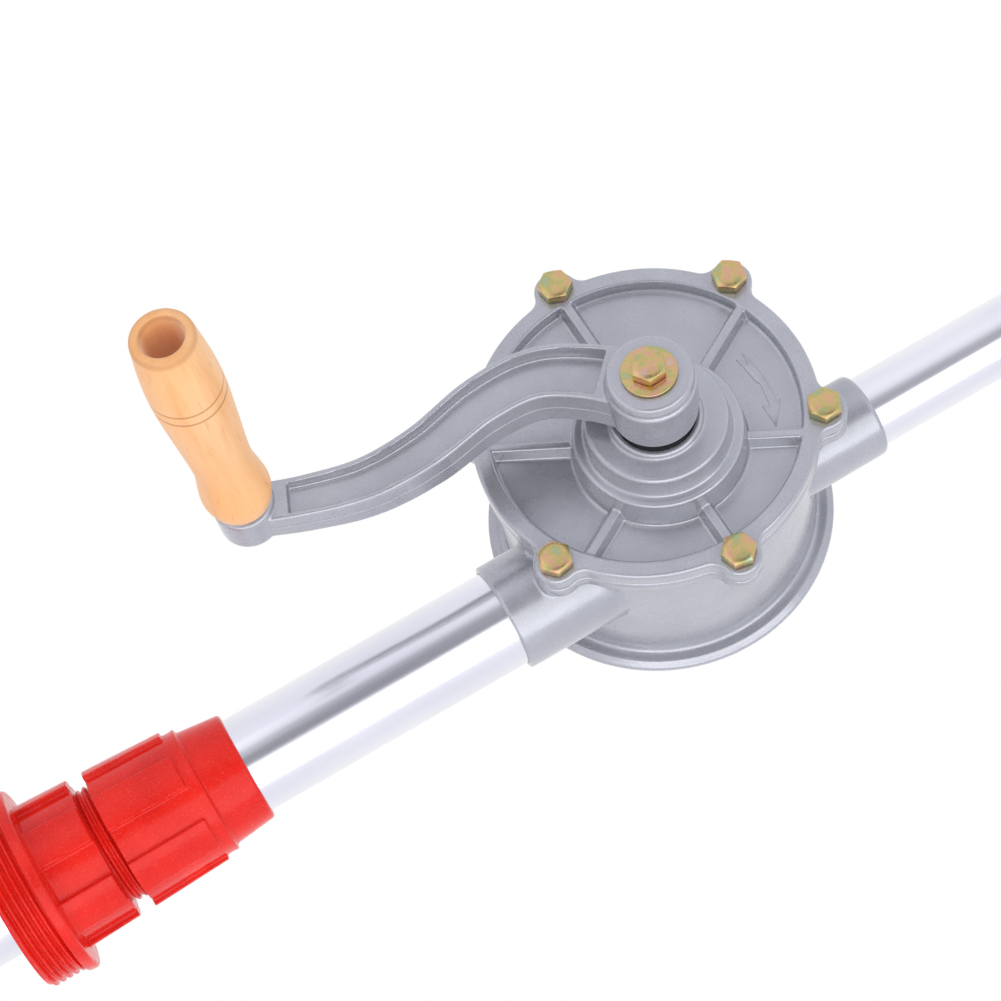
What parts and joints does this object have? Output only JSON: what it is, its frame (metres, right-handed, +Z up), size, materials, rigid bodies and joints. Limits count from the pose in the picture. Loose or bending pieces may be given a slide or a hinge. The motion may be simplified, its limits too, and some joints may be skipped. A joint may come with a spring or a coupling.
{
  "type": "drum barrel pump",
  "caption": "Hand-cranked rotary vane pump for a drum, with a screw-in bung adapter, a clamp nut, a sectional suction pipe and a curved discharge spout.",
  "frame": {"origin": "centre of the bung adapter's seat, on the suction pipe's axis", "axes": "+Z up along the pipes towards the discharge end, -Y out of the pump's cover towards the crank, +X the way that the spout points"},
  "size_m": [0.235, 0.2097, 1.2887],
  "materials": {
    "painted_casting": "satin",
    "bright_aluminium": "polished",
    "machined_aluminium": "satin",
    "red_plastic": "gloss",
    "beech": "satin",
    "yellow_zinc": "gloss",
    "steel": "satin",
    "bronze": "satin",
    "rubber": "matte",
    "nylon": "satin",
    "gasket_board": "matte"
  },
  "bodies": {
    "adapter": {"bung_adapter": "red_plastic", "pipe_seal": "rubber"},
    "washer": {"slip_washer": "nylon"},
    "nut": {"clamp_nut": "red_plastic"},
    "pump": {"pump_housing": "painted_casting", "front_cover": "painted_casting", "cover_gasket": "gasket_board", "cover_bolt_1": "yellow_zinc", "cover_bolt_2": "yellow_zinc", "cover_bolt_3": "yellow_zinc", "cover_bolt_4": "yellow_zinc", "cover_bolt_5": "yellow_zinc", "cover_bolt_6": "yellow_zinc", "shaft_bush_front": "bronze", "shaft_bush_rear": "bronze", "shaft_seal": "rubber", "suction_pipe_upper": "bright_aluminium", "suction_pipe_middle": "bright_aluminium", "suction_pipe_lower": "bright_aluminium", "pipe_coupling_1": "bright_aluminium", "pipe_coupling_2": "bright_aluminium", "discharge_pipe": "bright_aluminium"},
    "crank": {"rotor_shaft": "steel", "rotor": "machined_aluminium", "vane_spring_a": "steel", "vane_spring_b": "steel", "crank_arm": "painted_casting", "crank_washer": "yellow_zinc", "crank_bolt": "yellow_zinc", "grip_pin": "steel", "grip_washer": "steel"},
    "grip": {"hand_grip": "beech"},
    "vane_a": {"vane_a": "nylon"},
    "vane_b": {"vane_b": "nylon"}
  },
  "joints": [
    {"name": "pipe_slide", "type": "slide", "parent": "adapter", "child": "pump", "axis": [0, 0, 1], "range_m": [-0.086, 0.104]},
    {"name": "washer_lift", "type": "slide", "parent": "adapter", "child": "washer", "axis": [0, 0, 1], "range_m": [0, 0.0047]},
    {"name": "nut_turn", "type": "hinge", "parent": "washer", "child": "nut", "pos_m": [0, 0, 0.05], "axis": [0, 0, 1], "range_deg": [0, 720]},
    {"name": "crank_spin", "type": "hinge", "parent": "pump", "child": "crank", "pos_m": [-0.0141, -0.0282, 0.2343], "axis": [0, 1, 0], "continuous": true},
    {"name": "grip_spin", "type": "hinge", "parent": "crank", "child": "grip", "pos_m": [-0.04739, -0.1, 0.11091], "axis": [0, 1, 0], "continuous": true},
    {"name": "vane_a_slide", "type": "slide", "parent": "crank", "child": "vane_a", "axis": [0, 0, 1], "range_m": [0, 0.0081], "deforming": ["vane_spring_a"]},
    {"name": "vane_b_slide", "type": "slide", "parent": "crank", "child": "vane_b", "axis": [0, 0, -1], "range_m": [0, 0.0081], "deforming": ["vane_spring_b"]}
  ],
  "couplings": [
    {"joint": "washer_lift", "follows": "nut_turn", "m_per_rad": 0.00036606}
  ]
}
